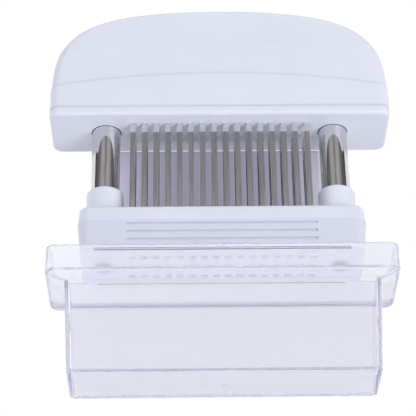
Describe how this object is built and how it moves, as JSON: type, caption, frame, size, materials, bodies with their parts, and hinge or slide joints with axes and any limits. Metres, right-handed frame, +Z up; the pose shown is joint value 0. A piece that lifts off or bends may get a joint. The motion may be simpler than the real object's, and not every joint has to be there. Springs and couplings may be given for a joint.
{
  "type": "blade meat tenderizer",
  "caption": "Hand-press meat tenderizer: a sprung D-shaped handle on two guide tubes drives rows of steel blades through a slotted base. It stands in a clear storage cover.",
  "frame": {"origin": "middle of the storage cover's flat bottom, on which the part stands", "axes": "+Z up through the handle, +X to the right along the handle, the grooved front faces -Y"},
  "size_m": [0.1514, 0.036, 0.1863],
  "materials": {
    "white_shell": "smooth white ABS with a faint cool tint",
    "clear_cover": "clear polystyrene, faint lavender edges",
    "polished_tube": "polished stainless tube",
    "blade_steel": "ground stainless strip",
    "spring_steel": "drawn spring wire",
    "nylon": "natural nylon",
    "zinc_screw": "zinc plated"
  },
  "bodies": {
    "cover": {"storage_cover": "clear_cover"},
    "base": {"base_housing": "white_shell", "comb_plate": "white_shell", "guide_tube_left": "polished_tube", "guide_tube_right": "polished_tube", "tube_plug_left": "nylon", "tube_plug_right": "nylon", "tube_screws": "zinc_screw", "stop_cap_left": "nylon", "stop_cap_right": "nylon", "spring_left": "spring_steel", "spring_right": "spring_steel"},
    "handle": {"handle_cap": "white_shell", "handle_skirt": "white_shell", "handle_bottom_plate": "white_shell", "guide_bush_left": "nylon", "guide_bush_right": "nylon", "push_rod_left": "nylon", "push_rod_right": "nylon", "blade_carrier": "nylon", "blade_row_front": "blade_steel", "blade_row_middle": "blade_steel", "blade_row_back": "blade_steel", "blade_clamp_plate": "nylon", "clamp_screws": "zinc_screw"}
  },
  "joints": [
    {"name": "tool_lift", "type": "slide", "parent": "cover", "child": "base", "axis": [0, 0, 1], "range_m": [0, 0.07]},
    {"name": "handle_press", "type": "slide", "parent": "base", "child": "handle", "axis": [0, 0, -1], "range_m": [0, 0.032], "stiffness_N_per_m": 500, "springref_m": -0.016, "deforming": ["spring_left", "spring_right"]}
  ]
}
